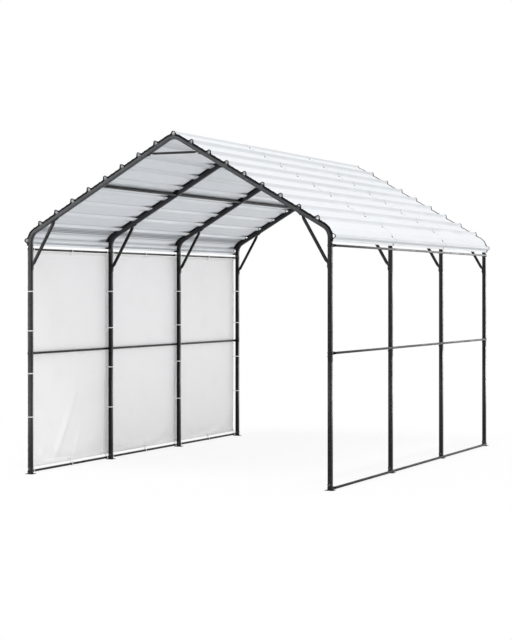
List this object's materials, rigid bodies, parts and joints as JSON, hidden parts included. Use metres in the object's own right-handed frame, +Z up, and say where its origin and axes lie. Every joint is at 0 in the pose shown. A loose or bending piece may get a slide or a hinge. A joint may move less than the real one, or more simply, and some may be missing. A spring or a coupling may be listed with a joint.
{
  "type": "open tube-frame carport with ribbed gable roof and one side cloth",
  "caption": "Open steel-tube carport with a ribbed metal gable roof, rounded eaves, braced portal frames, side rails and one laced cloth side wall.",
  "frame": {"origin": "centre of the footprint, on the ground", "axes": "+X across towards the open side with rails, +Y lengthwise from the front frame to the rear frame, +Z up"},
  "size_m": [3.118, 4.61, 3.1364],
  "materials": {
    "frame_steel": "dark grey powder coat, satin",
    "roof_sheet": "white painted ribbed sheet steel, semi-gloss",
    "side_cloth": "off-white coated woven sheeting, matt",
    "tie_cord": "white elastic cord"
  },
  "bodies": {
    "root": {"leg_front_left": "frame_steel", "leg_front_right": "frame_steel", "leg_second_left": "frame_steel", "leg_second_right": "frame_steel", "leg_third_left": "frame_steel", "leg_third_right": "frame_steel", "leg_rear_left": "frame_steel", "leg_rear_right": "frame_steel", "bow_front": "frame_steel", "bow_second": "frame_steel", "bow_third": "frame_steel", "bow_rear": "frame_steel", "feet_front": "frame_steel", "feet_second": "frame_steel", "feet_third": "frame_steel", "feet_rear": "frame_steel", "knee_braces_front": "frame_steel", "knee_braces_second": "frame_steel", "knee_braces_third": "frame_steel", "knee_braces_rear": "frame_steel", "collar_ties": "frame_steel", "purlins_left": "frame_steel", "purlins_right": "frame_steel", "top_rail_left": "frame_steel", "top_rail_right": "frame_steel", "mid_rail_left": "frame_steel", "mid_rail_right": "frame_steel", "bottom_rail_left": "frame_steel", "bottom_rail_right": "frame_steel", "roof_front_left": "roof_sheet", "roof_front_right": "roof_sheet", "ridge_cap_front": "roof_sheet", "roof_middle_left": "roof_sheet", "roof_middle_right": "roof_sheet", "ridge_cap_middle": "roof_sheet", "roof_rear_left": "roof_sheet", "roof_rear_right": "roof_sheet", "ridge_cap_rear": "roof_sheet", "side_cloth": "side_cloth", "post_ties": "tie_cord", "rail_ties": "tie_cord"}
  },
  "joints": []
}
